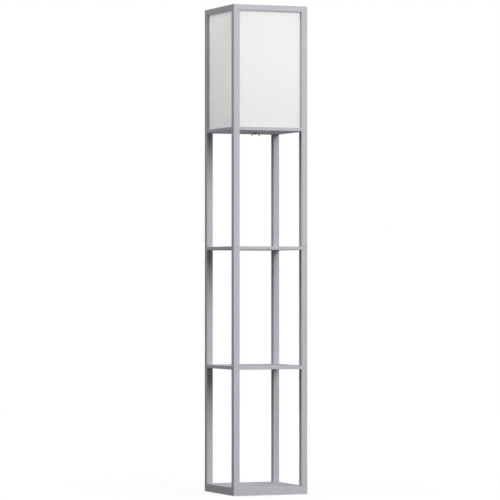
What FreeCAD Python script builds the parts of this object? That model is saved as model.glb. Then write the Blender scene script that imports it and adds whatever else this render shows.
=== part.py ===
"""Shelf floor lamp: a square timber tower with two open shelves and a boxed shade on top.

Millimetres, +Z up. The origin is the middle of the footprint, on the floor.
The front faces -Y and the left side faces -X.
"""
import FreeCAD
import Part

import math
import os

V = FreeCAD.Vector
UP = V(0, 0, 1)
ALONG_X = V(1, 0, 0)
ALONG_Y = V(0, 1, 0)

# ---- driving dimensions: timber frame ---------------------------------------------------
frame_width = 260.0  # over the outer faces of the posts, along X
frame_depth = 260.0  # the same along Y
post_size = 21.0  # every leg and shade post is square
base_thickness = 26.0
board_thickness = 11.0  # both shelves and the shade's floor
lower_leg_length = 383.5
middle_leg_length = 379.5
upper_leg_length = 378.0
shade_post_length = 391.5
rail_height = 18.5
post_edge_ease = 0.8  # chamfer round the legs and shade posts, ends and all
board_edge_ease = 0.6

# ---- driving dimensions: shade panels ---------------------------------------------------
panel_setback = 8.5  # from the frame's outer face to the cloth
panel_thickness = 1.2
cloth_thickness = 0.5
groove_depth = 4.0
panel_play = 0.3  # in the groove's width
panel_edge_gap = 0.5  # from a panel's side and top edges to the groove's bottom

# ---- driving dimensions: fasteners ------------------------------------------------------
pin_sides = 8  # of what is hidden: studs, dowels, bolts' shanks, their holes, the contact
stud_radius = 3.0  # to the corners
stud_grip = 20.0  # how far a stud or bolt reaches into the end of a post
through_hole_play = 0.4
hole_end_gap = 1.5  # past the end of a stud, bolt or dowel
bolt_head_size = 10.0  # across the flats
bolt_head_height = 4.0
bolt_well_radius = 7.5  # room for a socket spanner round the head
bolt_well_depth = 6.0
dowel_radius = 2.5
dowel_reach = 6.5  # into each of the two pieces
floor_dowel_inset = 4.0  # from the posts' inner faces
rail_dowel_height = 13.0  # over the rails' undersides
pad_size = 22.0
pad_thickness = 1.0
pad_inset = 38.0  # from the base's edge to the pad's middle

# ---- driving dimensions: nipple, its nuts and washers -----------------------------------
nipple_radius = 5.0
nipple_bore_radius = 3.7
nipple_hole_play = 0.3
nut_play = 0.06  # between the nipple and what is screwed on it
washer_radius = 11.0
washer_thickness = 1.0
lock_nut_size = 14.0  # across the flats
lock_nut_height = 4.0
wing_nut_hub_radius = 7.5
wing_nut_height = 5.0
wing_span = 29.0
wing_drop = 11.0  # from the floor's underside to the wings' tips
wing_thickness = 2.6
wing_width = 4.8  # of the bent wings, seen from the front
wing_bend_radius = 7.0  # outside
wing_root_gap = 0.2  # from the hub's upper face down to the wings' upper edge
nipple_proud = 0.3  # below the seated wing nut
bushing_bore_radius = 3.0
bushing_length = 8.0
bushing_flange_radius = 4.7
bushing_flange_thickness = 0.7

# ---- driving dimensions: lampholder and bulb --------------------------------------------
holder_radius = 18.0
holder_neck_radius = 7.5
holder_neck_height = 9.0
holder_cup_height = 12.0
holder_floor = 6.0  # of the shell, under the contacts
screw_shell_radius = 13.3  # inside
screw_shell_wall = 0.4
screw_shell_height = 24.0
screw_shell_play = 0.1  # round it, in the holder's bore
holder_rim_gap = 2.0  # from the screw shell's top to the holder's rim
contact_length = 8.0  # of the centre contact, a flat tongue
contact_width = 5.0
contact_height = 2.5
bulb_contact_radius = 4.5
bulb_contact_height = 1.5
bulb_seal_radius = 9.0
bulb_seal_height = 3.0
bulb_cap_radius = 13.0
bulb_cap_height = 22.0
bulb_radius = 19.0
collar_height = 14.0
globe_height = 80.0
globe_shoulder_height = 5.0  # of the bevel round its flat end
globe_end_radius = 12.0

# ---- heights worked out from them -------------------------------------------------------
base_bottom = pad_thickness
base_top = base_bottom + base_thickness
lower_shelf_bottom = base_top + lower_leg_length
lower_shelf_top = lower_shelf_bottom + board_thickness
upper_shelf_bottom = lower_shelf_top + middle_leg_length
upper_shelf_top = upper_shelf_bottom + board_thickness
floor_bottom = upper_shelf_top + upper_leg_length
floor_top = floor_bottom + board_thickness
rail_bottom = floor_bottom + shade_post_length
rail_top = rail_bottom + rail_height

# ---- plan worked out from them ----------------------------------------------------------
half_width = frame_width / 2
half_depth = frame_depth / 2
post_x = half_width - post_size / 2
post_y = half_depth - post_size / 2
inner_x = half_width - post_size  # the posts' inner faces
inner_y = half_depth - post_size
groove_width = cloth_thickness + panel_thickness + panel_play
cloth_face_x = half_width - panel_setback
cloth_face_y = half_depth - panel_setback
CORNERS = {
    "front_left": (-1, -1),
    "front_right": (1, -1),
    "back_left": (-1, 1),
    "back_right": (1, 1),
}


# ---- plain shapes -----------------------------------------------------------------------
def block(x0, x1, y0, y1, z0, z1):
    """A box between two limits on each axis."""
    return Part.makeBox(x1 - x0, y1 - y0, z1 - z0, V(x0, y0, z0))


def centred_block(x, y, size_x, size_y, z0, z1):
    """A box round a vertical line."""
    return block(x - size_x / 2, x + size_x / 2, y - size_y / 2, y + size_y / 2, z0, z1)


def rod(x, y, z, radius, length, along=UP):
    """A round bar from one end's middle."""
    return Part.makeCylinder(radius, length, V(x, y, z), along)


def tube(z, outer, inner, length):
    """An upright tube on the lamp's axis."""
    return rod(0, 0, z, outer, length).cut(rod(0, 0, z, inner, length))


def turned(profile):
    """A shape turned about the lamp's axis from (radius, height) corners, in order."""
    points = [V(r, 0, z) for r, z in profile]
    face = Part.Face(Part.makePolygon(points + points[:1]))
    return face.revolve(V(0, 0, 0), UP, 360)


def prism(sides, corner_radius, start, length, along=UP):
    """A bar with flat sides from one end's middle."""
    turn = FreeCAD.Rotation(UP, along)
    angles = [2 * math.pi * (i + 0.5) / sides for i in range(sides)]
    corners = [V(math.cos(a), math.sin(a), 0) * corner_radius for a in angles]
    points = [start + turn.multVec(corner) for corner in corners]
    return Part.Face(Part.makePolygon(points + points[:1])).extrude(along * length)


def hexagon(x, y, z, across_flats, height):
    """An upright hexagonal bar from its foot's middle."""
    return prism(6, across_flats / math.sqrt(3), V(x, y, z), height)


def pin(x, y, z, radius, length, along=UP):
    """A hidden pin or disc, or the hole for one, from one end's middle."""
    return prism(pin_sides, radius, V(x, y, z), length, along)


def eased(shape, size):
    """The shape with all its edges chamfered."""
    return shape.makeChamfer(size, shape.Edges)


def save(name, shape):
    """One sub-part, written under its node's name."""
    shape.exportStep(f"parts/{name}.step")


def save_group(name, solids):
    """Like pieces that share one node, as separate solids."""
    save(name, Part.makeCompound(solids))


# ---- base, legs and shelves -------------------------------------------------------------
def post_centres():
    """The middle of every post in plan."""
    return [(sx * post_x, sy * post_y) for sx, sy in CORNERS.values()]


def pad_centres():
    """The middle of every foot pad in plan."""
    x = half_width - pad_inset
    y = half_depth - pad_inset
    return [(sx * x, sy * y) for sx, sy in CORNERS.values()]


def base_board():
    """The foot of the lamp: bolts come up through it into the legs."""
    body = eased(centred_block(0, 0, frame_width, frame_depth, base_bottom, base_top),
                 board_edge_ease)
    for x, y in post_centres():
        body = body.cut(pin(x, y, base_bottom, stud_radius + through_hole_play, base_thickness))
        body = body.cut(rod(x, y, base_bottom, bolt_well_radius, bolt_well_depth))
    return body


def shelf_board(z):
    """A shelf held between the legs under and over it, with a stud through each corner."""
    body = eased(centred_block(0, 0, frame_width, frame_depth, z, z + board_thickness),
                 board_edge_ease)
    for x, y in post_centres():
        body = body.cut(pin(x, y, z, stud_radius + through_hole_play, board_thickness))
    return body


def post(x, y, z, length):
    """A square post with eased edges and, in its lower end, the hole for a stud."""
    body = eased(centred_block(x, y, post_size, post_size, z, z + length), post_edge_ease)
    return body.cut(pin(x, y, z, stud_radius, stud_grip + hole_end_gap))


def leg(x, y, z, length):
    """A leg between two boards, with a stud's hole in each end."""
    depth = stud_grip + hole_end_gap
    return post(x, y, z, length).cut(pin(x, y, z + length - depth, stud_radius, depth))


def stud(x, y, joint_bottom, joint_top):
    """A stud that holds two posts end to end, through the board between them."""
    start = joint_bottom - stud_grip
    return pin(x, y, start, stud_radius, joint_top + stud_grip - start)


def base_bolt(x, y):
    """A hexagon-head bolt, sunk in a well in the base's underside."""
    seat = base_bottom + bolt_well_depth
    head = hexagon(x, y, seat - bolt_head_height, bolt_head_size, bolt_head_height)
    shank = pin(x, y, seat, stud_radius, base_top + stud_grip - seat)
    return head.fuse(shank)


def foot_pad(x, y):
    """A square of felt glued under the base."""
    return centred_block(x, y, pad_size, pad_size, 0, pad_thickness)


def make_legs():
    """Three stages of legs, with the boards they carry."""
    save("base_board", base_board())
    save("lower_shelf", shelf_board(lower_shelf_bottom))
    save("upper_shelf", shelf_board(upper_shelf_bottom))
    for corner, (sx, sy) in CORNERS.items():
        x = sx * post_x
        y = sy * post_y
        save(f"lower_leg_{corner}", leg(x, y, base_top, lower_leg_length))
        save(f"middle_leg_{corner}", leg(x, y, lower_shelf_top, middle_leg_length))
        save(f"upper_leg_{corner}", leg(x, y, upper_shelf_top, upper_leg_length))


def make_fasteners():
    """Bolts, studs and pads, each kind in one node."""
    centres = post_centres()
    save_group("base_bolts", [base_bolt(x, y) for x, y in centres])
    shelf_joints = [(lower_shelf_bottom, lower_shelf_top), (upper_shelf_bottom, upper_shelf_top)]
    save_group("shelf_studs", [stud(x, y, *joint) for joint in shelf_joints for x, y in centres])
    save_group("shade_studs", [stud(x, y, floor_bottom, floor_bottom) for x, y in centres])
    save_group("foot_pads", [foot_pad(x, y) for x, y in pad_centres()])


# ---- shade: floor, posts, top rails and panels ------------------------------------------
def panel_slots(depth_z0, depth_z1):
    """Four upright slabs where the cloth-covered panels run, from one height to another.

    They cross the posts, the floor's edge and the rails, and cut the grooves there.
    """
    reach_x = inner_x + groove_depth
    reach_y = inner_y + groove_depth
    slots = []
    for side in (-1, 1):
        y_pair = sorted((side * cloth_face_y, side * (cloth_face_y - groove_width)))
        x_pair = sorted((side * cloth_face_x, side * (cloth_face_x - groove_width)))
        slots.append(block(-reach_x, reach_x, *y_pair, depth_z0, depth_z1))
        slots.append(block(*x_pair, -reach_y, reach_y, depth_z0, depth_z1))
    return slots


panel_bottom = floor_top - groove_depth
panel_top = rail_bottom + groove_depth - panel_edge_gap
SHADE_SLOTS = panel_slots(panel_bottom, rail_bottom + groove_depth)


def dowel_hole(x, y, z, along):
    """A dowel's hole through the joint face at its middle, into both pieces."""
    reach = dowel_reach + hole_end_gap
    start = V(x, y, z) - along * reach
    return pin(start.x, start.y, start.z, dowel_radius, 2 * reach, along)


def dowel(x, y, z, along):
    """A dowel, half in each of the two pieces that meet at its middle."""
    start = V(x, y, z) - along * dowel_reach
    return pin(start.x, start.y, start.z, dowel_radius, 2 * dowel_reach, along)


def dowel_places():
    """Where the shade's dowels cross their joint faces, with the way each one lies."""
    floor_middle = (floor_bottom + floor_top) / 2
    floor_dowel_y = inner_y + floor_dowel_inset
    rail_dowel_z = rail_bottom + rail_dowel_height
    places = []
    for sx, sy in CORNERS.values():
        places.append((sx * inner_x, sy * floor_dowel_y, floor_middle, ALONG_X))
        places.append((sx * post_x, sy * post_y, rail_bottom, UP))
        places.append((sx * post_x, sy * inner_y, rail_dowel_z, ALONG_Y))
    return places


DOWEL_HOLES = [dowel_hole(*place) for place in dowel_places()]


def shade_floor():
    """The shade's floor: notched round the posts, grooved for the panels, bored for the nipple."""
    body = eased(centred_block(0, 0, frame_width, frame_depth, floor_bottom, floor_top),
                 board_edge_ease)
    for x, y in post_centres():
        body = body.cut(centred_block(x, y, post_size, post_size, floor_bottom, floor_top))
    body = body.cut(rod(0, 0, floor_bottom, nipple_radius + nipple_hole_play, board_thickness))
    return body.cut(SHADE_SLOTS + DOWEL_HOLES)


def shade_post(x, y):
    """A post of the shade, standing on its leg past the floor, with a groove in two faces."""
    return post(x, y, floor_bottom, shade_post_length).cut(SHADE_SLOTS + DOWEL_HOLES)


def top_rail(x0, x1, y0, y1):
    """A rail of the shade's top frame, grooved below where the panel's top edge runs."""
    body = eased(block(x0, x1, y0, y1, rail_bottom, rail_top), board_edge_ease)
    return body.cut(SHADE_SLOTS + DOWEL_HOLES)


def panel_layers(back_from, front_from):
    """The four plates that lie between two depths behind the cloth's outer face."""
    x_reach = inner_x + groove_depth - panel_edge_gap
    y_reach = inner_y + groove_depth - panel_edge_gap
    plates = {}
    for side, name in ((-1, "front"), (1, "back")):
        pair = sorted((side * (cloth_face_y - front_from), side * (cloth_face_y - back_from)))
        plates[name] = block(-x_reach, x_reach, *pair, panel_bottom, panel_top)
    for side, name in ((-1, "left"), (1, "right")):
        pair = sorted((side * (cloth_face_x - front_from), side * (cloth_face_x - back_from)))
        plates[name] = block(*pair, -y_reach, y_reach, panel_bottom, panel_top)
    return plates


def make_shade():
    """The boxed shade, from its floor to its top frame."""
    save("shade_floor", shade_floor())
    for corner, (sx, sy) in CORNERS.items():
        save(f"shade_post_{corner}", shade_post(sx * post_x, sy * post_y))
    save("top_rail_front", top_rail(-half_width, half_width, -half_depth, -inner_y))
    save("top_rail_back", top_rail(-half_width, half_width, inner_y, half_depth))
    save("top_rail_left", top_rail(-half_width, -inner_x, -inner_y, inner_y))
    save("top_rail_right", top_rail(inner_x, half_width, -inner_y, inner_y))
    for side, plate in panel_layers(cloth_thickness + panel_thickness, cloth_thickness).items():
        save(f"shade_panel_{side}", plate)
    for side, plate in panel_layers(cloth_thickness, 0).items():
        save(f"shade_cloth_{side}", plate)
    save_group("frame_dowels", [dowel(*place) for place in dowel_places()])


# ---- nipple with its nuts and washers ---------------------------------------------------
wing_washer_bottom = floor_bottom - washer_thickness
wing_nut_bottom = wing_washer_bottom - wing_nut_height
nipple_bottom = wing_nut_bottom - nipple_proud
lock_nut_bottom = floor_top + washer_thickness
holder_bottom = lock_nut_bottom + lock_nut_height
nipple_top = holder_bottom + holder_neck_height


def washer(z):
    """A flat washer round the nipple."""
    return tube(z, washer_radius, nipple_radius + nipple_hole_play, washer_thickness)


def wing(side):
    """One wing of the nut: it runs out from the hub, bends down and ends in a round tip."""
    reach = wing_span / 2
    half_width = wing_width / 2
    bend_x = reach - wing_bend_radius
    inside_radius = wing_bend_radius - wing_width
    top = wing_washer_bottom - wing_root_gap
    bend_z = top - wing_bend_radius
    tip_z = floor_bottom - wing_drop + half_width
    diagonal = math.sqrt(0.5)

    def at(x, z):
        return V(side * x, -wing_thickness / 2, z)

    outer_bend = Part.Arc(at(bend_x, top),
                          at(bend_x + wing_bend_radius * diagonal,
                             bend_z + wing_bend_radius * diagonal),
                          at(reach, bend_z))
    tip = Part.Arc(at(reach, tip_z),
                   at(reach - half_width, tip_z - half_width),
                   at(reach - wing_width, tip_z))
    inner_bend = Part.Arc(at(reach - wing_width, bend_z),
                          at(bend_x + inside_radius * diagonal, bend_z + inside_radius * diagonal),
                          at(bend_x, bend_z + inside_radius))
    outline = Part.Wire([
        Part.makeLine(at(nipple_radius, top), at(bend_x, top)),
        outer_bend.toShape(),
        Part.makeLine(at(reach, bend_z), at(reach, tip_z)),
        tip.toShape(),
        Part.makeLine(at(reach - wing_width, tip_z), at(reach - wing_width, bend_z)),
        inner_bend.toShape(),
        Part.makeLine(at(bend_x, top - wing_width), at(nipple_radius, top - wing_width)),
        Part.makeLine(at(nipple_radius, top - wing_width), at(nipple_radius, top)),
    ])
    return Part.Face(outline).extrude(V(0, wing_thickness, 0))


def wing_nut():
    """The nut that clamps the nipple to the shade's floor and is turned by hand."""
    hub = rod(0, 0, wing_nut_bottom, wing_nut_hub_radius, wing_nut_height)
    body = hub.fuse([wing(-1), wing(1)])
    return body.cut(rod(0, 0, wing_nut_bottom, nipple_radius + nut_play, wing_nut_height))


def lock_nut():
    """The hexagon nut over the floor."""
    bar = hexagon(0, 0, lock_nut_bottom, lock_nut_size, lock_nut_height)
    return bar.cut(rod(0, 0, lock_nut_bottom, nipple_radius + nut_play, lock_nut_height))


def cord_bushing():
    """The smooth sleeve in the nipple's lower end that a cord leaves through."""
    flange_bottom = nipple_bottom - bushing_flange_thickness
    sleeve = rod(0, 0, nipple_bottom, nipple_bore_radius, bushing_length)
    flange = rod(0, 0, flange_bottom, bushing_flange_radius, bushing_flange_thickness)
    bore = rod(0, 0, flange_bottom, bushing_bore_radius,
               bushing_length + bushing_flange_thickness)
    return sleeve.fuse(flange).cut(bore)


def make_nipple():
    """The hollow threaded pipe through the shade's floor and what is on it."""
    save("nipple", tube(nipple_bottom, nipple_radius, nipple_bore_radius,
                        nipple_top - nipple_bottom))
    save("floor_washer", washer(floor_top))
    save("wing_washer", washer(wing_washer_bottom))
    save("lock_nut", lock_nut())
    save("wing_nut", wing_nut())
    save("cord_bushing", cord_bushing())


# ---- lampholder -------------------------------------------------------------------------
cup_bottom = nipple_top
shell_bottom = cup_bottom + holder_cup_height
shell_floor_top = shell_bottom + holder_floor
screw_shell_outer = screw_shell_radius + screw_shell_wall
shell_top = shell_floor_top + screw_shell_height + holder_rim_gap
contact_top = shell_floor_top + contact_height


def holder_cup():
    """The holder's closed lower half, which screws on the nipple by its neck."""
    neck_bore = nipple_radius + nut_play
    return turned([
        (neck_bore, holder_bottom),
        (holder_neck_radius, holder_bottom),
        (holder_neck_radius, cup_bottom),
        (holder_radius, cup_bottom),
        (holder_radius, shell_bottom),
        (0, shell_bottom),
        (0, cup_bottom),
        (neck_bore, cup_bottom),
    ])


def holder_shell():
    """The holder's upper half: a floor for the contacts and a bore round the screw shell."""
    bore = screw_shell_outer + screw_shell_play
    return turned([
        (0, shell_bottom),
        (holder_radius, shell_bottom),
        (holder_radius, shell_top),
        (bore, shell_top),
        (bore, shell_floor_top),
        (0, shell_floor_top),
    ])


def make_lampholder():
    """The holder's two halves and its contacts."""
    save("holder_cup", holder_cup())
    save("holder_shell", holder_shell())
    save("screw_shell", tube(shell_floor_top, screw_shell_outer, screw_shell_radius,
                             screw_shell_height))
    save("centre_contact", centred_block(0, 0, contact_length, contact_width,
                                         shell_floor_top, contact_top))


# ---- bulb -------------------------------------------------------------------------------
seal_bottom = contact_top + bulb_contact_height
cap_bottom = seal_bottom + bulb_seal_height
cap_top = cap_bottom + bulb_cap_height
collar_top = cap_top + collar_height
globe_top = collar_top + globe_height


def bulb_globe():
    """The opal tube, drawn in to a flat end."""
    return turned([
        (0, collar_top),
        (bulb_radius, collar_top),
        (bulb_radius, globe_top - globe_shoulder_height),
        (globe_end_radius, globe_top),
        (0, globe_top),
    ])


def make_bulb():
    """The bulb that stands in the holder."""
    save("bulb_contact", pin(0, 0, contact_top, bulb_contact_radius, bulb_contact_height))
    save("bulb_seal", rod(0, 0, seal_bottom, bulb_seal_radius, bulb_seal_height))
    save("bulb_cap", rod(0, 0, cap_bottom, bulb_cap_radius, bulb_cap_height))
    save("bulb_collar", rod(0, 0, cap_top, bulb_radius, collar_height))
    save("bulb_globe", bulb_globe())


os.makedirs("parts", exist_ok=True)
make_legs()
make_fasteners()
make_shade()
make_nipple()
make_lampholder()
make_bulb()
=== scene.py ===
"""Shelf floor lamp: its finishes, the pieces with a finer form than the solids, and the studio.

Metres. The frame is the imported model, which gives the pieces their places and outer sizes.
"""
import math

import bmesh
import bpy
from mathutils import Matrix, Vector


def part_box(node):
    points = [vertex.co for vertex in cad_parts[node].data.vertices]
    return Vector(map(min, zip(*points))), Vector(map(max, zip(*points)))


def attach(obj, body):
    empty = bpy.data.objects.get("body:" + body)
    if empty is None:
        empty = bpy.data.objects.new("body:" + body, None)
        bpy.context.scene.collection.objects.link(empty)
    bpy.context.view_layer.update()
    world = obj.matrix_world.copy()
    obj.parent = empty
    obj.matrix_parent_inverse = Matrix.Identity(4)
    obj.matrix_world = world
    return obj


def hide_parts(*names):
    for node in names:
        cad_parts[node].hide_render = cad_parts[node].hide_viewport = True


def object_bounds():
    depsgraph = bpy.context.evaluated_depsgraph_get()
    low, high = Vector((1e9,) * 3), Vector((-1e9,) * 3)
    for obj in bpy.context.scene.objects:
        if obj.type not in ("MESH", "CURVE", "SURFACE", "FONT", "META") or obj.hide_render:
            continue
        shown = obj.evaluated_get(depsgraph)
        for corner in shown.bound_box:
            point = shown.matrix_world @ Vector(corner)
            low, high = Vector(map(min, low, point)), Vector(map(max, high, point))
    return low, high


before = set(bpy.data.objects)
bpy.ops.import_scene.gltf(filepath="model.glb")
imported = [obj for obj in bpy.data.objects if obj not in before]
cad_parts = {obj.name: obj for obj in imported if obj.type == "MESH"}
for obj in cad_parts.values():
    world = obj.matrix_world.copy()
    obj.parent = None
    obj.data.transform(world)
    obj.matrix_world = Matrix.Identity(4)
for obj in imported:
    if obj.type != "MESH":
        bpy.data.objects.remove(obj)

CAD_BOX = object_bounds()


# ---- timber frame -------------------------------------------------------------------------
# Base, legs, shelves, shade floor, shade posts and top rails: planed timber with a cool grey
# stain and a satin coat. The grain runs along each piece, and only a trace of it shows.
def add_node(tree, kind, sockets=None, **settings):
    """A node with its settings made and its sockets set or linked, by name or number."""
    made = tree.nodes.new(kind)
    for name, value in settings.items():
        setattr(made, name, value)
    for name, value in (sockets or {}).items():
        if isinstance(value, bpy.types.NodeSocket):
            tree.links.new(value, made.inputs[name])
        else:
            made.inputs[name].default_value = value
    return made


def shader_group(name, inputs, outputs):
    """An empty shader node group with its sockets, its input node and its output node."""
    tree = bpy.data.node_groups.new(name, "ShaderNodeTree")
    for label, kind, default in inputs:
        socket = tree.interface.new_socket(label, in_out="INPUT", socket_type=kind)
        socket.default_value = default
    for label, kind in outputs:
        tree.interface.new_socket(label, in_out="OUTPUT", socket_type=kind)
    return tree, tree.nodes.new("NodeGroupInput"), tree.nodes.new("NodeGroupOutput")


def new_material(name):
    """A material with nothing in it but its output node and object coordinates."""
    made = bpy.data.materials.new(name)
    made.use_nodes = True
    tree = made.node_tree
    tree.nodes.clear()
    output = tree.nodes.new("ShaderNodeOutputMaterial")
    place = tree.nodes.new("ShaderNodeTexCoord").outputs["Object"]
    return made, tree, output, place


def bumped(tree, height, strength, distance):
    """The normal of a fine relief."""
    relief = {"Height": height, "Strength": strength, "Distance": distance}
    return add_node(tree, "ShaderNodeBump", relief).outputs["Normal"]


def mixed(tree, factor, first, second):
    """A colour between two others."""
    blend = {0: factor, 6: first, 7: second}
    return add_node(tree, "ShaderNodeMix", blend, data_type="RGBA").outputs[2]


def ranged(tree, value, low, high, start=0.0, end=1.0):
    """A value moved from one range to another."""
    limits = {"Value": value, "From Min": start, "From Max": end, "To Min": low, "To Max": high}
    return add_node(tree, "ShaderNodeMapRange", limits).outputs["Result"]


def combined(tree, operation, first, second=0.0):
    """What a sum makes of one or two numbers."""
    return add_node(tree, "ShaderNodeMath", {0: first, 1: second},
                    operation=operation).outputs["Value"]


def grain_group():
    """Stained grain: long soft streaks, fine pores along them and a slow change of tone."""
    tree, inside, outside = shader_group(
        "stained_grain",
        [("Place", "NodeSocketVector", (0, 0, 0)),
         ("Stretch", "NodeSocketVector", (60, 60, 2)),
         ("Light Tone", "NodeSocketColor", (0.6, 0.6, 0.6, 1)),
         ("Dark Tone", "NodeSocketColor", (0.5, 0.5, 0.5, 1))],
        [("Color", "NodeSocketColor"), ("Roughness", "NodeSocketFloat"),
         ("Height", "NodeSocketFloat")])
    along = add_node(tree, "ShaderNodeMapping", {
        "Vector": inside.outputs["Place"], "Scale": inside.outputs["Stretch"]}).outputs[0]
    streaks = add_node(tree, "ShaderNodeTexNoise", {
        "Vector": along, "Scale": 1.0, "Detail": 5.0, "Roughness": 0.6,
        "Distortion": 0.4}).outputs[0]
    pores = add_node(tree, "ShaderNodeTexNoise", {
        "Vector": along, "Scale": 9.0, "Detail": 2.0, "Roughness": 0.5}).outputs[0]
    drift = add_node(tree, "ShaderNodeTexNoise", {
        "Vector": inside.outputs["Place"], "Scale": 2.5, "Detail": 1.0}).outputs[0]
    dark_pores = ranged(tree, pores, 0.0, 1.0, 0.58, 0.8)
    tone = combined(tree, "ADD", ranged(tree, streaks, 0.0, 0.75, 0.3, 0.7),
                    ranged(tree, drift, 0.0, 0.25, 0.3, 0.7))
    tone = combined(tree, "SUBTRACT", tone, combined(tree, "MULTIPLY", dark_pores, 0.35))
    colour = mixed(tree, tone, inside.outputs["Dark Tone"], inside.outputs["Light Tone"])
    tree.links.new(colour, outside.inputs["Color"])
    tree.links.new(ranged(tree, streaks, 0.66, 0.54), outside.inputs["Roughness"])
    height = combined(tree, "SUBTRACT", streaks, dark_pores)
    tree.links.new(height, outside.inputs["Height"])
    return tree


STAINED_GRAIN = grain_group()
STAIN_LIGHT = (0.572, 0.566, 0.612, 1)
STAIN_DARK = (0.528, 0.522, 0.566, 1)
GRAIN_ACROSS = 150.0  # streaks to the metre, across the grain
GRAIN_ALONG = 3.0


def grained_timber(name, axis, light=STAIN_LIGHT, dark=STAIN_DARK):
    """Timber with its grain along X, Y or Z, in the lamp's stain or in two other tones."""
    made, tree, output, place = new_material(name)
    stretch = [GRAIN_ACROSS] * 3
    stretch[axis] = GRAIN_ALONG
    grain = add_node(tree, "ShaderNodeGroup", node_tree=STAINED_GRAIN)
    tree.links.new(place, grain.inputs["Place"])
    grain.inputs["Stretch"].default_value = stretch
    grain.inputs["Light Tone"].default_value = light
    grain.inputs["Dark Tone"].default_value = dark
    coat = add_node(tree, "ShaderNodeBsdfPrincipled", {
        "Base Color": grain.outputs["Color"], "Roughness": grain.outputs["Roughness"],
        "Specular IOR Level": 0.05,
        "Normal": bumped(tree, grain.outputs["Height"], 0.25, 0.0001)})
    tree.links.new(coat.outputs[0], output.inputs["Surface"])
    return made


def dress(names, material):
    """Gives carried-over nodes their finish."""
    for name in names:
        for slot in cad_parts[name].material_slots:
            slot.material = material


TIMBER_ALONG_X = grained_timber("stained_timber_along_x", 0)
TIMBER_ALONG_Y = grained_timber("stained_timber_along_y", 1)
TIMBER_UPRIGHT = grained_timber("stained_timber_upright", 2)
uprights = [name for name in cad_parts
            if name.startswith(("lower_leg", "middle_leg", "upper_leg", "shade_post"))]
dress(uprights, TIMBER_UPRIGHT)
dress(["base_board", "lower_shelf", "upper_shelf", "shade_floor"], TIMBER_ALONG_X)
dress(["top_rail_front", "top_rail_back"], TIMBER_ALONG_X)
dress(["top_rail_left", "top_rail_right"], TIMBER_ALONG_Y)


# ---- hidden studs and dowels --------------------------------------------------------------
# Zinc-plated studs join the legs through the shelves and to the shade's posts. Beech dowels hold
# the shade's corners. The timber closes them in, so they keep the solids' plain forms.
def metal(name, bright, dull, roughness, spot_size):
    """A metal whose tone and polish vary in soft spots, with fine brushing in its relief."""
    made, tree, output, place = new_material(name)
    spots = add_node(tree, "ShaderNodeTexNoise", {
        "Vector": place, "Scale": 1 / spot_size, "Detail": 4.0, "Roughness": 0.6}).outputs[0]
    scratches = add_node(tree, "ShaderNodeTexNoise", {
        "Vector": place, "Scale": 6 / spot_size, "Detail": 2.0}).outputs[0]
    share = ranged(tree, spots, 0.0, 1.0, 0.35, 0.65)
    surface = add_node(tree, "ShaderNodeBsdfPrincipled", {
        "Base Color": mixed(tree, share, bright, dull), "Metallic": 1.0,
        "Roughness": ranged(tree, share, *roughness),
        "Normal": bumped(tree, scratches, 0.15, 0.0001)})
    tree.links.new(surface.outputs[0], output.inputs["Surface"])
    return made


ZINC_STEEL = metal("zinc_steel", (0.62, 0.63, 0.66, 1), (0.45, 0.46, 0.48, 1),
                   roughness=(0.3, 0.5), spot_size=0.004)
BARE_BEECH = grained_timber("bare_beech", 2, (0.74, 0.56, 0.36, 1), (0.58, 0.40, 0.23, 1))
dress(["shelf_studs", "shade_studs"], ZINC_STEEL)
dress(["frame_dowels"], BARE_BEECH)


# ---- base bolts ---------------------------------------------------------------------------
# Four zinc-plated hexagon-head bolts, which come up through wells in the base's underside into
# the lower legs. Their heads have softened edges.
def add_object(name, data):
    """A new object in the scene, at the origin."""
    made = bpy.data.objects.new(name, data)
    bpy.context.scene.collection.objects.link(made)
    return made


def plain_copy(node, name):
    """A merged copy of a node's mesh, its flat faces whole, as a new piece at the origin."""
    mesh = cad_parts[node].data.copy()
    mesh.name = name
    work = bmesh.new()
    work.from_mesh(mesh)
    bmesh.ops.remove_doubles(work, verts=work.verts, dist=2e-6)
    bmesh.ops.dissolve_limit(work, angle_limit=math.radians(0.5), verts=work.verts,
                             edges=work.edges)
    work.to_mesh(mesh)
    work.free()
    return add_object(name, mesh)


def apply_modifiers(piece):
    """Turns what the piece's modifiers make into its plain mesh."""
    bpy.context.view_layer.update()
    evaluated = piece.evaluated_get(bpy.context.evaluated_depsgraph_get())
    made = bpy.data.meshes.new_from_object(evaluated)
    piece.modifiers.clear()
    piece.data = made
    made.name = piece.name
    return piece


def smooth(piece, angle=35):
    """Smooth shading, but for edges sharper than an angle."""
    piece.data.shade_smooth()
    work = bmesh.new()
    work.from_mesh(piece.data)
    for edge in work.edges:
        if len(edge.link_faces) == 2:
            edge.smooth = edge.calc_face_angle() < math.radians(angle)
    work.to_mesh(piece.data)
    work.free()


def fit(piece, body, slot, material, *nodes):
    """Finishes a piece, sets it on its body and in the place of the nodes it stands for."""
    piece.data.materials.clear()
    piece.data.materials.append(material)
    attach(piece, body)
    if nodes:
        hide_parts(*nodes)


def round_edges(piece, width, segments, angle=30):
    """Rounds each edge that turns by more than an angle."""
    bevel = piece.modifiers.new("rounding", "BEVEL")
    bevel.width = width
    bevel.segments = segments
    bevel.limit_method = "ANGLE"
    bevel.angle_limit = math.radians(angle)
    apply_modifiers(piece)
    smooth(piece)


def softened(node, name, width, segments=3):
    """A node's form with its edges rounded."""
    piece = plain_copy(node, name)
    round_edges(piece, width, segments)
    return piece


bolts = softened("base_bolts", "base_bolt_heads", width=0.0004)
fit(bolts, "frame", "steel", ZINC_STEEL, "base_bolts")


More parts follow.
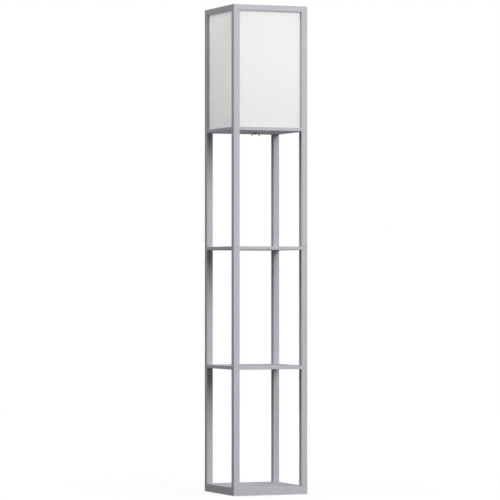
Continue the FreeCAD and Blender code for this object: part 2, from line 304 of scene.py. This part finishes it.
# ---- felt pads ----------------------------------------------------------------------------
# Four squares of dark pressed felt, a millimetre thick, glued under the base to spare the floor.
# They are fuzzy, and their cut edges are rounded.
def felt():
    """Pressed dark wool: matted fibres with lighter specks."""
    made, tree, output, place = new_material("dark_felt")
    mat = add_node(tree, "ShaderNodeTexNoise", {
        "Vector": place, "Scale": 700.0, "Detail": 6.0, "Roughness": 0.7,
        "Distortion": 1.2}).outputs[0]
    specks = ranged(tree, mat, 0.0, 1.0, 0.45, 0.75)
    wool = add_node(tree, "ShaderNodeBsdfPrincipled", {
        "Base Color": mixed(tree, specks, (0.035, 0.035, 0.038, 1), (0.12, 0.12, 0.125, 1)),
        "Roughness": ranged(tree, mat, 0.85, 1.0), "Sheen Weight": 0.3,
        "Normal": bumped(tree, mat, 0.8, 0.0004)})
    tree.links.new(wool.outputs[0], output.inputs["Surface"])
    return made


pads = softened("foot_pads", "felt_pads", width=0.0003)
fit(pads, "frame", "felt", felt(), "foot_pads")


# ---- shade sheets -------------------------------------------------------------------------
# Four stiff sheets of milky plastic that slide into the grooves of the posts, the shade's
# floor and the rails. They carry the cloth and let lamplight through.
SIDES = ("front", "back", "left", "right")
CLOUD_DEPTH = 0.0002


def milky(name, colour, passed, roughness, relief, uneven):
    """A pale stuff that scatters light to both sides: passed is the share that goes through."""
    made, tree, output, place = new_material(name)
    cloudy = add_node(tree, "ShaderNodeTexNoise", {
        "Vector": place, "Scale": uneven, "Detail": 3.0, "Roughness": 0.55}).outputs[0]
    tint = ranged(tree, cloudy, 0.0, 1.0, 0.3, 0.7)
    shaded = tuple(0.98 * part for part in colour[:3]) + (1,)
    body = mixed(tree, tint, shaded, colour)
    normal = bumped(tree, cloudy, relief, CLOUD_DEPTH)
    skin = add_node(tree, "ShaderNodeBsdfPrincipled", {
        "Base Color": body, "Roughness": ranged(tree, cloudy, *roughness), "Normal": normal})
    through = add_node(tree, "ShaderNodeBsdfTranslucent", {"Color": body, "Normal": normal})
    both = add_node(tree, "ShaderNodeMixShader", {
        0: passed, 1: skin.outputs[0], 2: through.outputs[0]})
    tree.links.new(both.outputs[0], output.inputs["Surface"])
    return made


MILKY_SHEET = milky("milky_sheet", (0.976, 0.976, 0.971, 1), passed=0.95,
                    roughness=(0.35, 0.45), relief=0.05, uneven=40.0)
dress([f"shade_panel_{side}" for side in SIDES], MILKY_SHEET)


# ---- shade cloth --------------------------------------------------------------------------
# Four off-white plain-weave cloths, drawn flat and bonded to the sheets. Their edges lie in
# the grooves. Warp and weft are fine, with slubs that thicken a thread here and there.
THREAD_PITCH = 0.0007
THREAD_LIGHT = (0.965, 0.963, 0.960, 1)
# the darker tone: painted shade in the gaps between threads, and the colour of thin slubs
THREAD_GAP_SHADE_AND_SLUB = (0.935, 0.933, 0.928, 1)
THREAD_DEPTH = 0.00015
SLUBS_ACROSS = 900.0  # changes to the metre, from one thread to the next
SLUBS_ALONG = 35.0  # and along a thread
CLOTH_PASSED = 0.54  # share of the light that goes through
CLOTH_COLUMNS = 18
CLOTH_ROWS = 30


def weave_group():
    """Plain weave from a map in metres: warp over weft by turns, with slubs along threads and
    painted shade in the gaps between them.
    """
    tree, inside, outside = shader_group(
        "plain_weave",
        [("Flat Place", "NodeSocketVector", (0, 0, 0)),
         ("Thread Pitch", "NodeSocketFloat", THREAD_PITCH),
         ("Light Thread", "NodeSocketColor", (0.9, 0.9, 0.9, 1)),
         ("Gap Shade and Thin Slub", "NodeSocketColor", (0.85, 0.85, 0.85, 1))],
        [("Color", "NodeSocketColor"), ("Roughness", "NodeSocketFloat"),
         ("Height", "NodeSocketFloat")])
    parts = add_node(tree, "ShaderNodeSeparateXYZ", {0: inside.outputs["Flat Place"]}).outputs
    turn = combined(tree, "DIVIDE", math.pi, inside.outputs["Thread Pitch"])
    across = combined(tree, "MULTIPLY", parts["X"], turn)
    along = combined(tree, "MULTIPLY", parts["Y"], turn)
    warp = combined(tree, "SINE", across)
    weft = combined(tree, "SINE", along)
    crossing = combined(tree, "MULTIPLY", warp, weft)
    warp_slubs = add_node(tree, "ShaderNodeMapping", {
        "Vector": inside.outputs["Flat Place"], "Scale": (SLUBS_ACROSS, SLUBS_ALONG, 1)}).outputs[0]
    weft_slubs = add_node(tree, "ShaderNodeMapping", {
        "Vector": inside.outputs["Flat Place"], "Scale": (SLUBS_ALONG, SLUBS_ACROSS, 1)}).outputs[0]
    thick_warp = add_node(tree, "ShaderNodeTexNoise", {
        "Vector": warp_slubs, "Scale": 1.0, "Detail": 2.0}).outputs[0]
    thick_weft = add_node(tree, "ShaderNodeTexNoise", {
        "Vector": weft_slubs, "Scale": 1.0, "Detail": 2.0}).outputs[0]
    slubs = combined(tree, "ADD", thick_warp, thick_weft)
    # Painted shade: the colour darkens in the gaps between threads, where warp or weft passes zero.
    painted_gap_shade = ranged(tree, combined(tree, "ABSOLUTE", crossing), 0.0, 1.0, 0.0, 0.35)
    tone = combined(tree, "MULTIPLY", painted_gap_shade, ranged(tree, slubs, 0.25, 1.0, 0.8, 1.2))
    colour = mixed(tree, tone, inside.outputs["Gap Shade and Thin Slub"], inside.outputs["Light Thread"])
    height = combined(tree, "ADD", combined(tree, "MULTIPLY", crossing, 0.5), slubs)
    tree.links.new(colour, outside.inputs["Color"])
    tree.links.new(ranged(tree, slubs, 0.5, 0.6, 0.8, 1.2), outside.inputs["Roughness"])
    tree.links.new(height, outside.inputs["Height"])
    return tree


def shade_cloth_material():
    """The woven cloth, which lets through a part of the light that falls on it."""
    made, tree, output, _ = new_material("off_white_plain_weave")
    flat_place = add_node(tree, "ShaderNodeUVMap", uv_map="cut_in_metres").outputs[0]
    weave = add_node(tree, "ShaderNodeGroup", node_tree=weave_group())
    tree.links.new(flat_place, weave.inputs["Flat Place"])
    weave.inputs["Thread Pitch"].default_value = THREAD_PITCH
    weave.inputs["Light Thread"].default_value = THREAD_LIGHT
    weave.inputs["Gap Shade and Thin Slub"].default_value = THREAD_GAP_SHADE_AND_SLUB
    normal = bumped(tree, weave.outputs["Height"], 0.35, THREAD_DEPTH)
    yarn = add_node(tree, "ShaderNodeBsdfPrincipled", {
        "Base Color": weave.outputs["Color"], "Roughness": weave.outputs["Roughness"],
        "Specular IOR Level": 0.5, "Normal": normal})
    through = add_node(tree, "ShaderNodeBsdfTranslucent", {
        "Color": weave.outputs["Color"], "Normal": normal})
    both = add_node(tree, "ShaderNodeMixShader", {
        0: CLOTH_PASSED, 1: yarn.outputs[0], 2: through.outputs[0]})
    tree.links.new(both.outputs[0], output.inputs["Surface"])
    return made


def cloth_sheet(side):
    """One cloth: a flat sheet over its panel, with its cut size as its map."""
    low, high = (Vector(corner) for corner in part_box(f"shade_cloth_{side}"))
    facing_y = side in ("front", "back")
    outward = -1 if side in ("front", "left") else 1
    width = high.x - low.x if facing_y else high.y - low.y
    length = high.z - low.z
    depth = high if outward > 0 else low
    mesh = bpy.data.meshes.new(f"cloth_{side}")
    work = bmesh.new()
    cut = work.loops.layers.uv.new("cut_in_metres")
    rows = []
    for row in range(CLOTH_ROWS + 1):
        z = low.z + length * row / CLOTH_ROWS
        line = []
        for column in range(CLOTH_COLUMNS + 1):
            along = width * (column / CLOTH_COLUMNS - 0.5)
            spot = (along, depth.y, z) if facing_y else (depth.x, along, z)
            line.append(work.verts.new(spot))
        rows.append(line)
    for lower, upper in zip(rows, rows[1:]):
        for corners in zip(lower, lower[1:], upper[1:], upper):
            face = work.faces.new(corners)
            for loop in face.loops:
                spot = loop.vert.co
                loop[cut].uv = ((spot.x if facing_y else spot.y), spot.z)
    towards = Vector((0, outward, 0)) if facing_y else Vector((outward, 0, 0))
    work.normal_update()
    wrong = [face for face in work.faces if face.normal.dot(towards) < 0]
    bmesh.ops.reverse_faces(work, faces=wrong)
    work.to_mesh(mesh)
    work.free()
    mesh.shade_smooth()
    return add_object(f"cloth_{side}", mesh), (width, length)


PLAIN_WEAVE = shade_cloth_material()
for side in SIDES:
    cloth, cut_size = cloth_sheet(side)
    fit(cloth, "frame", "shade_cloth", PLAIN_WEAVE, f"shade_cloth_{side}")


# ---- nipple, nuts and washers -------------------------------------------------------------
# A threaded brass pipe holds lampholder and floor together: a hexagon nut and a washer on the
# floor, a washer and a cast wing nut under it. All have a dark, handled brass finish.
def turned(name, profile, segments=96):
    """A closed skin turned about the lamp's axis from (radius, height) corners."""
    mesh = bpy.data.meshes.new(name)
    work = bmesh.new()
    corners = [work.verts.new((radius, 0, height)) for radius, height in profile]
    for first, second in zip(corners, corners[1:]):
        work.edges.new((first, second))
    bmesh.ops.spin(work, geom=work.verts[:] + work.edges[:], axis=(0, 0, 1), cent=(0, 0, 0),
                   steps=segments, angle=2 * math.pi, use_merge=True)
    bmesh.ops.remove_doubles(work, verts=work.verts, dist=1e-6)
    bmesh.ops.recalc_face_normals(work, faces=work.faces)
    work.to_mesh(mesh)
    work.free()
    return add_object(name, mesh)


def geometry_tree(name, inputs):
    """An empty geometry tree with named inputs, its input node and its output node."""
    tree = bpy.data.node_groups.new(name, "GeometryNodeTree")
    tree.interface.new_socket("Geometry", in_out="INPUT", socket_type="NodeSocketGeometry")
    for label, kind, default in inputs:
        socket = tree.interface.new_socket(label, in_out="INPUT", socket_type=kind)
        socket.default_value = default
    tree.interface.new_socket("Geometry", in_out="OUTPUT", socket_type="NodeSocketGeometry")
    return tree, tree.nodes.new("NodeGroupInput"), tree.nodes.new("NodeGroupOutput")


def close_tree(tree, inside, outside, added, material):
    """Joins what a tree adds to the piece, makes it real and gives it its material."""
    joined = tree.nodes.new("GeometryNodeJoinGeometry")
    tree.links.new(inside.outputs["Geometry"], joined.inputs[0])
    tree.links.new(added, joined.inputs[0])
    real = add_node(tree, "GeometryNodeRealizeInstances", {0: joined.outputs[0]})
    dressed = add_node(tree, "GeometryNodeSetMaterial", {
        "Geometry": real.outputs[0], "Material": material})
    tree.links.new(dressed.outputs[0], outside.inputs[0])
    return tree


def grow(piece, tree, values):
    """Runs a geometry tree on the piece with its inputs set, and keeps the plain mesh."""
    modifier = piece.modifiers.new(tree.name, "NODES")
    modifier.node_group = tree
    for item in tree.interface.items_tree:
        if item.in_out == "INPUT" and item.name in values:
            modifier[item.identifier] = values[item.name]
    return apply_modifiers(piece)


def thread_tree(material):
    """A rolled thread: a round ridge that climbs about the axis."""
    tree, inside, outside = geometry_tree("rolled_thread", [
        ("Turns", "NodeSocketFloat", 4.0), ("Pitch", "NodeSocketFloat", 0.0036),
        ("Steps", "NodeSocketInt", 64), ("Circle Radius", "NodeSocketFloat", 0.0125),
        ("Ridge Radius", "NodeSocketFloat", 0.0006), ("Bottom", "NodeSocketFloat", 0.0)])
    values = inside.outputs
    height = combined(tree, "MULTIPLY", values["Turns"], values["Pitch"])
    helix = add_node(tree, "GeometryNodeCurveSpiral", {
        "Resolution": values["Steps"], "Rotations": values["Turns"],
        "Start Radius": values["Circle Radius"], "End Radius": values["Circle Radius"],
        "Height": height})
    section = add_node(tree, "GeometryNodeCurvePrimitiveCircle", {
        "Resolution": 10, "Radius": values["Ridge Radius"]})
    ridge = add_node(tree, "GeometryNodeCurveToMesh", {
        "Curve": helix.outputs[0], "Profile Curve": section.outputs[0], "Fill Caps": True})
    lift = add_node(tree, "ShaderNodeCombineXYZ", {"Z": values["Bottom"]}).outputs[0]
    raised = add_node(tree, "GeometryNodeTransform", {
        "Geometry": ridge.outputs[0], "Translation": lift})
    return close_tree(tree, inside, outside, raised.outputs[0], material)


def span(node):
    """A node's outer radius, bottom and top."""
    low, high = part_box(node)
    return high[0], low[2], high[2]


NIPPLE_BORE = 0.0037
NIPPLE_PITCH = 0.001
NIPPLE_RIDGE = 0.0004
NIPPLE_PLAIN_END = 0.0006  # without a thread, at either end
NIPPLE_STEPS = 32  # of the thread, in a turn
AGED_BRASS = metal("aged_brass", (0.42, 0.35, 0.23, 1), (0.14, 0.115, 0.08, 1),
                   roughness=(0.28, 0.5), spot_size=0.006)

nipple_radius, nipple_bottom, nipple_top = span("nipple")
nipple_root = nipple_radius - NIPPLE_RIDGE
nipple = turned("threaded_nipple", [
    (NIPPLE_BORE, nipple_bottom),
    (nipple_root, nipple_bottom),
    (nipple_root, nipple_top),
    (NIPPLE_BORE, nipple_top),
    (NIPPLE_BORE, nipple_bottom)])
threaded_length = nipple_top - nipple_bottom - 2 * NIPPLE_PLAIN_END
grow(nipple, thread_tree(AGED_BRASS), {
    "Turns": threaded_length / NIPPLE_PITCH, "Pitch": NIPPLE_PITCH, "Steps": NIPPLE_STEPS,
    "Circle Radius": nipple_root, "Ridge Radius": NIPPLE_RIDGE,
    "Bottom": nipple_bottom + NIPPLE_PLAIN_END})
smooth(nipple)
fit(nipple, "frame", "aged_brass", AGED_BRASS, "nipple")

for node, name, body, edge_radius, segments in (
        ("floor_washer", "upper_washer", "frame", 0.0003, 3),
        ("lock_nut", "hexagon_nut", "frame", 0.0004, 3),
        ("wing_washer", "lower_washer", "clamp_washer", 0.0003, 3),
        ("wing_nut", "cast_wing_nut", "wing_nut", 0.0007, 4)):
    fit(softened(node, name, edge_radius, segments), body, "aged_brass", AGED_BRASS, node)


# ---- cord bushing -------------------------------------------------------------------------
# A smooth black moulded sleeve, pressed into the nipple's lower end so that the pipe's edge
# can't cut a cord. Its thin collar has rounded edges.
def moulded(name, colour, roughness, sheen_spots):
    """Moulded plastic: even, with a faint mottle in its gloss and a fine skin."""
    made, tree, output, place = new_material(name)
    mottle = add_node(tree, "ShaderNodeTexNoise", {
        "Vector": place, "Scale": sheen_spots, "Detail": 4.0, "Roughness": 0.6}).outputs[0]
    lighter = tuple(min(1.0, 1.15 * part + 0.004) for part in colour[:3]) + (1,)
    surface = add_node(tree, "ShaderNodeBsdfPrincipled", {
        "Base Color": mixed(tree, ranged(tree, mottle, 0.0, 1.0, 0.35, 0.65), colour, lighter),
        "Roughness": ranged(tree, mottle, *roughness),
        "Normal": bumped(tree, mottle, 0.1, 0.0001)})
    tree.links.new(surface.outputs[0], output.inputs["Surface"])
    return made


BLACK_PLASTIC = moulded("black_moulding", (0.028, 0.027, 0.026, 1),
                        roughness=(0.32, 0.5), sheen_spots=260.0)
bushing = softened("cord_bushing", "smooth_bushing", width=0.00025)
fit(bushing, "frame", "black_plastic", BLACK_PLASTIC, "cord_bushing")


# ---- lampholder ---------------------------------------------------------------------------
# Two black moulded halves, screwed together, the upper one ribbed for the hand. A brass sleeve
# with a rolled thread stands in it, over a brass centre contact.
def rib_tree(material):
    """Upright round ribs, evenly spaced round the axis."""
    tree, inside, outside = geometry_tree("upright_ribs", [
        ("Count", "NodeSocketInt", 24), ("Circle Radius", "NodeSocketFloat", 0.01),
        ("Rib Radius", "NodeSocketFloat", 0.001), ("Bottom", "NodeSocketFloat", 0.0),
        ("Top", "NodeSocketFloat", 0.01)])
    values = inside.outputs
    ring = add_node(tree, "GeometryNodeMeshCircle", {
        "Vertices": values["Count"], "Radius": values["Circle Radius"]}).outputs[0]
    low = add_node(tree, "ShaderNodeCombineXYZ", {"Z": values["Bottom"]}).outputs[0]
    high = add_node(tree, "ShaderNodeCombineXYZ", {"Z": values["Top"]}).outputs[0]
    line = add_node(tree, "GeometryNodeCurvePrimitiveLine", {"Start": low, "End": high})
    section = add_node(tree, "GeometryNodeCurvePrimitiveCircle", {
        "Resolution": 10, "Radius": values["Rib Radius"]})
    rib = add_node(tree, "GeometryNodeCurveToMesh", {
        "Curve": line.outputs[0], "Profile Curve": section.outputs[0], "Fill Caps": True})
    ribs = add_node(tree, "GeometryNodeInstanceOnPoints", {
        "Points": ring, "Instance": rib.outputs[0]})
    return close_tree(tree, inside, outside, ribs.outputs[0], material)


HOLDER_RIBS = 40
HOLDER_RIB_RADIUS = 0.0008
HOLDER_RIB_PROUD = 0.0004
HOLDER_RIBS_UP = 0.004  # from the upper half's lower edge
HOLDER_RIBS_DOWN = 0.008  # from its rim

lower_half = softened("holder_cup", "holder_lower_half", width=0.001, segments=4)
fit(lower_half, "frame", "black_plastic", BLACK_PLASTIC, "holder_cup")

shell_radius, shell_bottom, shell_top = span("holder_shell")
upper_half = softened("holder_shell", "holder_upper_half", width=0.0008, segments=4)
grow(upper_half, rib_tree(BLACK_PLASTIC), {
    "Count": HOLDER_RIBS, "Rib Radius": HOLDER_RIB_RADIUS,
    "Circle Radius": shell_radius + HOLDER_RIB_PROUD - HOLDER_RIB_RADIUS,
    "Bottom": shell_bottom + HOLDER_RIBS_UP, "Top": shell_top - HOLDER_RIBS_DOWN})
smooth(upper_half)
fit(upper_half, "frame", "black_plastic", BLACK_PLASTIC, "holder_shell")

BRIGHT_BRASS = metal("bright_brass", (0.80, 0.63, 0.30, 1), (0.62, 0.47, 0.22, 1),
                     roughness=(0.18, 0.32), spot_size=0.005)
LAMP_PITCH = 0.0254 / 7  # seven turns to the inch
SLEEVE_WALL = 0.0002
SLEEVE_TURNS = 5.0
SLEEVE_THREAD_UP = 0.003  # from its lower edge

dress(["centre_contact"], BRIGHT_BRASS)
lamp_thread = thread_tree(BRIGHT_BRASS)
sleeve_radius, sleeve_bottom, sleeve_top = span("screw_shell")
sleeve_inside = sleeve_radius - SLEEVE_WALL
sleeve = turned("threaded_sleeve", [
    (sleeve_inside, sleeve_bottom),
    (sleeve_radius, sleeve_bottom),
    (sleeve_radius, sleeve_top),
    (sleeve_inside, sleeve_top),
    (sleeve_inside, sleeve_bottom)])
grow(sleeve, lamp_thread, {
    "Turns": SLEEVE_TURNS, "Pitch": LAMP_PITCH, "Circle Radius": sleeve_inside,
    "Ridge Radius": SLEEVE_WALL, "Bottom": sleeve_bottom + SLEEVE_THREAD_UP})
smooth(sleeve)
fit(sleeve, "frame", "bright_brass", BRIGHT_BRASS, "screw_shell")


# ---- bulb ---------------------------------------------------------------------------------
# A tubular lamp: brass cap with a rolled thread, black seal and brass contact under it, white
# moulded collar with shallow ribs, and an opal globe with a shallow dome.
CAP_TURNS = 4.0
CAP_RIDGE = 0.0007
CAP_THREAD_UP = 0.0035  # from the cap's lower edge
CAP_FOOT = 0.002  # height of the slope at its lower edge
CAP_FOOT_SHARE = 0.75  # of its width, at the lower edge
CAP_BAND = 0.003  # plain and wide, under the collar
CAP_BAND_SLOPE = 0.0005
CAP_PLAY = 0.0001
CONTACT_FOOT = 0.0006
CONTACT_FOOT_SHARE = 0.7

cap_radius, cap_bottom, cap_top = span("bulb_cap")
cap_root = cap_radius - CAP_RIDGE
cap_band_radius = cap_radius - CAP_PLAY
cap = turned("threaded_cap", [
    (0, cap_bottom),
    (cap_root * CAP_FOOT_SHARE, cap_bottom),
    (cap_root, cap_bottom + CAP_FOOT),
    (cap_root, cap_top - CAP_BAND - CAP_BAND_SLOPE),
    (cap_band_radius, cap_top - CAP_BAND),
    (cap_band_radius, cap_top),
    (0, cap_top)])
grow(cap, lamp_thread, {
    "Turns": CAP_TURNS, "Pitch": LAMP_PITCH, "Circle Radius": cap_root,
    "Ridge Radius": CAP_RIDGE, "Bottom": cap_bottom + CAP_THREAD_UP})
smooth(cap)
fit(cap, "bulb", "bright_brass", BRIGHT_BRASS, "bulb_cap")

seal = softened("bulb_seal", "black_seal", width=0.001, segments=4)
fit(seal, "bulb", "black_plastic", BLACK_PLASTIC, "bulb_seal")

contact_radius, contact_bottom, contact_top = span("bulb_contact")
contact = turned("lamp_contact", [
    (0, contact_bottom),
    (contact_radius * CONTACT_FOOT_SHARE, contact_bottom),
    (contact_radius, contact_bottom + CONTACT_FOOT),
    (contact_radius, contact_top),
    (0, contact_top)])
smooth(contact)
fit(contact, "bulb", "bright_brass", BRIGHT_BRASS, "bulb_contact")

WHITE_PLASTIC = moulded("white_moulding", (0.80, 0.80, 0.79, 1),
                        roughness=(0.28, 0.42), sheen_spots=180.0)
COLLAR_RIBS = 36
COLLAR_RIB_RADIUS = 0.0006
COLLAR_RIB_PROUD = 0.0004
COLLAR_RIBS_UP = 0.005  # from the collar's lower edge
COLLAR_RIBS_DOWN = 0.002  # from its upper edge
COLLAR_FOOT = 0.004
COLLAR_FOOT_SHARE = 0.78
COLLAR_SHOULDER = 0.001
COLLAR_SHOULDER_IN = 0.0005
GLOBE_GAP = 0.0002  # over the collar

collar_radius, collar_bottom, collar_top = span("bulb_collar")
collar_skin = collar_radius - COLLAR_RIB_RADIUS
collar = turned("ribbed_collar", [
    (0, collar_bottom),
    (collar_skin * COLLAR_FOOT_SHARE, collar_bottom),
    (collar_skin, collar_bottom + COLLAR_FOOT),
    (collar_skin, collar_top - COLLAR_SHOULDER),
    (collar_skin - COLLAR_SHOULDER_IN, collar_top - GLOBE_GAP),
    (0, collar_top - GLOBE_GAP)])
grow(collar, rib_tree(WHITE_PLASTIC), {
    "Count": COLLAR_RIBS, "Rib Radius": COLLAR_RIB_RADIUS,
    "Circle Radius": collar_skin + COLLAR_RIB_PROUD - COLLAR_RIB_RADIUS,
    "Bottom": collar_bottom + COLLAR_RIBS_UP, "Top": collar_top - COLLAR_RIBS_DOWN})
smooth(collar)
fit(collar, "bulb", "white_plastic", WHITE_PLASTIC, "bulb_collar")

GLOBE_FOOT = 0.0008
GLOBE_SHOULDER = 0.003
DOME_HEIGHT = 0.008
DOME_STEPS = 10
OPAL_GLASS = milky("opal_glass", (0.84, 0.84, 0.82, 1), passed=0.4,
                   roughness=(0.08, 0.16), relief=0.02, uneven=25.0)
globe_radius, globe_bottom, globe_top = span("bulb_globe")
dome_radius = (globe_radius ** 2 + DOME_HEIGHT ** 2) / (2 * DOME_HEIGHT)
dome_angle = math.asin(globe_radius / dome_radius)
dome = [(dome_radius * math.sin(dome_angle * (1 - step / DOME_STEPS)),
         globe_top - dome_radius * (1 - math.cos(dome_angle * (1 - step / DOME_STEPS))))
        for step in range(DOME_STEPS + 1)]
globe = turned("opal_globe", [
    (0, globe_bottom),
    (globe_radius - GLOBE_FOOT, globe_bottom),
    (globe_radius, globe_bottom + GLOBE_FOOT)] + dome)
round_edges(globe, GLOBE_SHOULDER, segments=5)
fit(globe, "bulb", "opal_glass", OPAL_GLASS, "bulb_globe")


# ---- floor and surroundings ---------------------------------------------------------------
# A plain pale floor that brightens into a white surround. The camera and reflections see them
# white or nearly so, but they light the lamp only a little. The floor keeps the lamp's shadow.
def seen_directly(tree):
    """1 for what the camera, a reflection or glass shows, 0 for light on its way elsewhere."""
    path = tree.nodes.new("ShaderNodeLightPath")
    shown = combined(tree, "MAXIMUM", path.outputs["Is Camera Ray"],
                     path.outputs["Is Glossy Ray"])
    return combined(tree, "MAXIMUM", shown, path.outputs["Is Transmission Ray"])


FLOOR_SIZE = 12.0
FLOOR_TONE = 0.12
TONE_DRIFT = 0.02  # either way
GLOW_NEAR = 0.87
GLOW_FAR = 1.0
NEAR = 0.5  # from the lamp's middle
FAR = 3.0
SURROUND_GLOW = 0.04  # what light that isn't seen directly gets of the white surround

floor_mesh = bpy.data.meshes.new("pale_floor")
half = FLOOR_SIZE / 2
floor_mesh.from_pydata([(-half, -half, 0), (half, -half, 0), (half, half, 0), (-half, half, 0)],
                       [], [(0, 1, 2, 3)])
floor = add_object("pale_floor", floor_mesh)
floor_material, tree, output, place = new_material("pale_floor")
trace = add_node(tree, "ShaderNodeTexNoise", {"Vector": place, "Scale": 1.5, "Detail": 2.0})
tone = ranged(tree, trace.outputs[0],
              FLOOR_TONE * (1 - TONE_DRIFT), FLOOR_TONE * (1 + TONE_DRIFT))
matt = add_node(tree, "ShaderNodeBsdfDiffuse", {"Color": tone})
away = add_node(tree, "ShaderNodeVectorMath", {0: place}, operation="LENGTH").outputs["Value"]
white = ranged(tree, away, GLOW_NEAR, GLOW_FAR, NEAR, FAR)
glow = add_node(tree, "ShaderNodeEmission", {
    "Strength": combined(tree, "MULTIPLY", seen_directly(tree), white)})
both = add_node(tree, "ShaderNodeAddShader", {0: matt.outputs[0], 1: glow.outputs[0]})
tree.links.new(both.outputs[0], output.inputs["Surface"])
floor_mesh.materials.append(floor_material)

world = bpy.data.worlds.new("white_surround")
bpy.context.scene.world = world
world.use_nodes = True
tree = world.node_tree
tree.nodes.clear()
surround = add_node(tree, "ShaderNodeBackground", {
    "Color": (1, 1, 1, 1), "Strength": ranged(tree, seen_directly(tree), SURROUND_GLOW, 1.0)})
world_output = tree.nodes.new("ShaderNodeOutputWorld")
tree.links.new(surround.outputs[0], world_output.inputs["Surface"])


# ---- lights -------------------------------------------------------------------------------
# A large softbox at the front right and above is the key. Weaker ones fill the left side and
# the back. One straight above shines into the shade, so that light comes through its cloth.
SOFTBOXES = {  # where each stands as seen from the lamp, how far, how wide, and its watts
    "key_softbox": ((0.30, -1.0, 0.50), 8.0, 5.6, 655.0),
    "left_softbox": ((-1.0, 0.0, 0.70), 7.0, 3.4, 168.0),
    "back_softbox": ((0.8, 0.7, 0.0), 5.0, 1.5, 85.0),
    "top_softbox": ((0.0, 0.0, 1.0), 5.0, 1.0, 125.0),
}

lamp_middle = (Vector(CAD_BOX[0]) + Vector(CAD_BOX[1])) / 2
for name, (towards, distance, width, watts) in SOFTBOXES.items():
    towards = Vector(towards).normalized()
    softbox = bpy.data.lights.new(name, "AREA")
    softbox.shape = "SQUARE"
    softbox.size = width
    softbox.energy = watts
    stand = add_object(name, softbox)
    stand.location = lamp_middle + towards * distance
    stand.rotation_euler = towards.to_track_quat("Z", "Y").to_euler()


# ---- camera -------------------------------------------------------------------------------
# A long lens, ten metres away, to the left of the lamp's front and a little under its middle.
# It is tilted up slightly.
CAMERA_SENSOR = 36.0  # millimetres wide
CAMERA_LENS = 221.27  # millimetres
CAMERA_PLACE = (-3.84194, -9.39293, 0.68989)
CAMERA_YAW = 22.14  # degrees, to the right of straight back
CAMERA_PITCH = 0.6296  # degrees, up

camera_data = bpy.data.cameras.new("camera")
camera_data.sensor_width = CAMERA_SENSOR
camera_data.lens = CAMERA_LENS
camera_data.clip_end = 200.0
camera = add_object("camera", camera_data)
camera.location = CAMERA_PLACE
camera.rotation_euler = (math.radians(90 + CAMERA_PITCH), 0, math.radians(-CAMERA_YAW))
bpy.context.scene.camera = camera
bpy.context.scene.view_settings.view_transform = "Standard"
